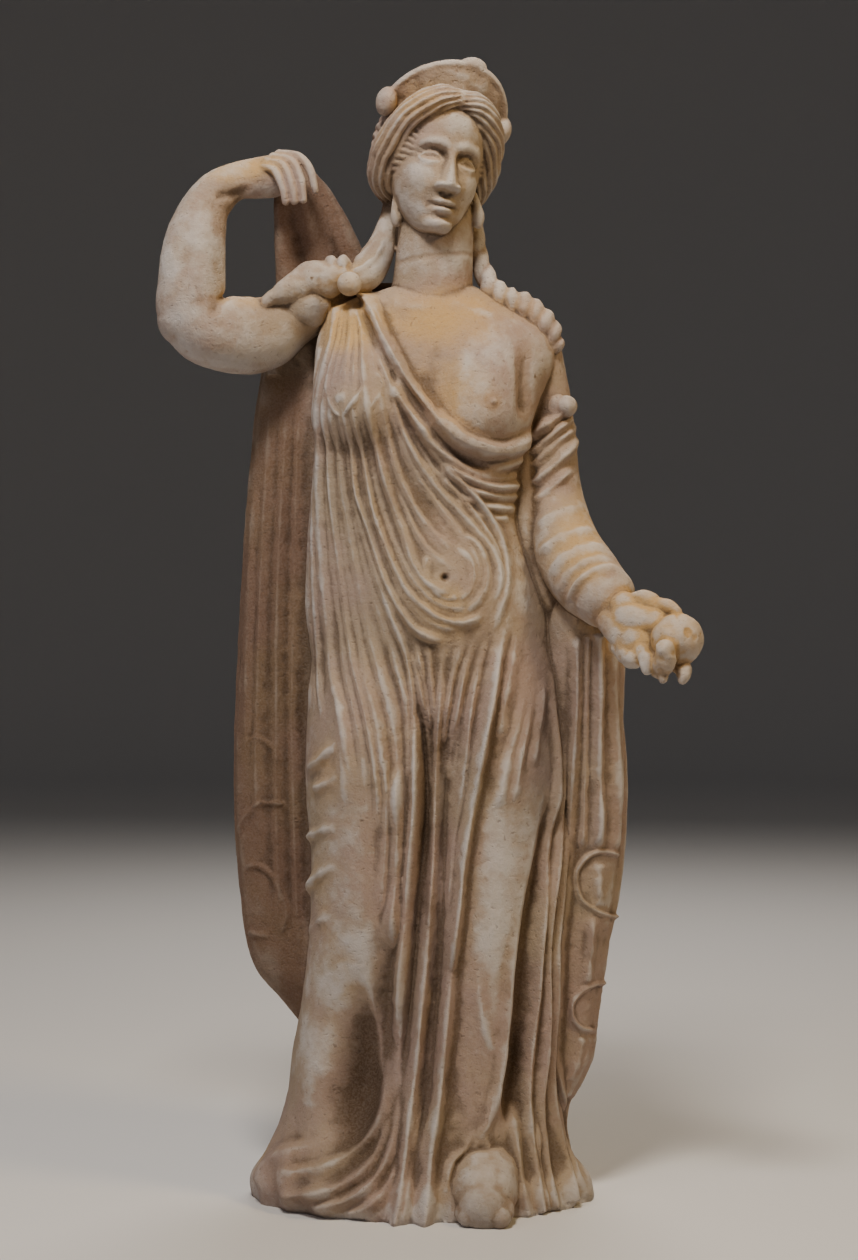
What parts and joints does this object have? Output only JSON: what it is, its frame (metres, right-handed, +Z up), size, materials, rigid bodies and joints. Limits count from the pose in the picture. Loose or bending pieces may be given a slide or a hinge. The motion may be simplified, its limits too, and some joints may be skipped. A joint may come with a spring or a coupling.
{
  "type": "terracotta figurine",
  "caption": "Standing draped woman in moulded terracotta, right hand raised to her mantle, left hand holding out a round fruit; rests on her flared hem.",
  "frame": {"origin": "middle of the object's box in plan, at ground level", "axes": "+Z up along the figure's height; she faces -Y; her left arm with the fruit is on +X"},
  "size_m": [0.1747, 0.0982, 0.3739],
  "materials": {
    "terracotta": "unglazed fired clay with worn pale slip, matte"
  },
  "bodies": {
    "root": {"figurine": "terracotta"}
  },
  "joints": []
}
